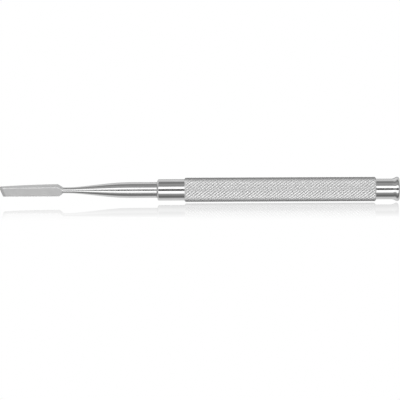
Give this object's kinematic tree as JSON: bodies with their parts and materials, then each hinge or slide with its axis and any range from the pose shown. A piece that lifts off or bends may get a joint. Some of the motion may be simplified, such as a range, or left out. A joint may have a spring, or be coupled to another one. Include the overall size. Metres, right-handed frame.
{
  "type": "cuticle pusher",
  "caption": "Slim steel cuticle pusher: a flat skewed blade on a tapered shank, a plain collar, a diamond-knurled round grip and a flared end.",
  "frame": {"origin": "on the tool's axis, at the middle of the knurled grip", "axes": "+X along the axis towards the flared end, so the blade points along -X; +Z across the blade's width, towards the leading corner of its skewed end; the blade's flat front face looks along -Y"},
  "size_m": [0.1651, 0.01, 0.01],
  "materials": {
    "satin_steel": "satin-ground blade, polished shank",
    "polished_steel": "polished, with very fine turning marks",
    "knurled_steel": "diamond knurl, bright crests and duller grooves",
    "solder": "smooth silver solder"
  },
  "bodies": {
    "root": {"blade_shank": "satin_steel", "shank_solder_fillet": "solder", "front_collar": "polished_steel", "grip_tube": "knurled_steel", "end_cap": "polished_steel", "front_solder_ring": "solder", "rear_solder_ring": "solder"}
  },
  "joints": []
}
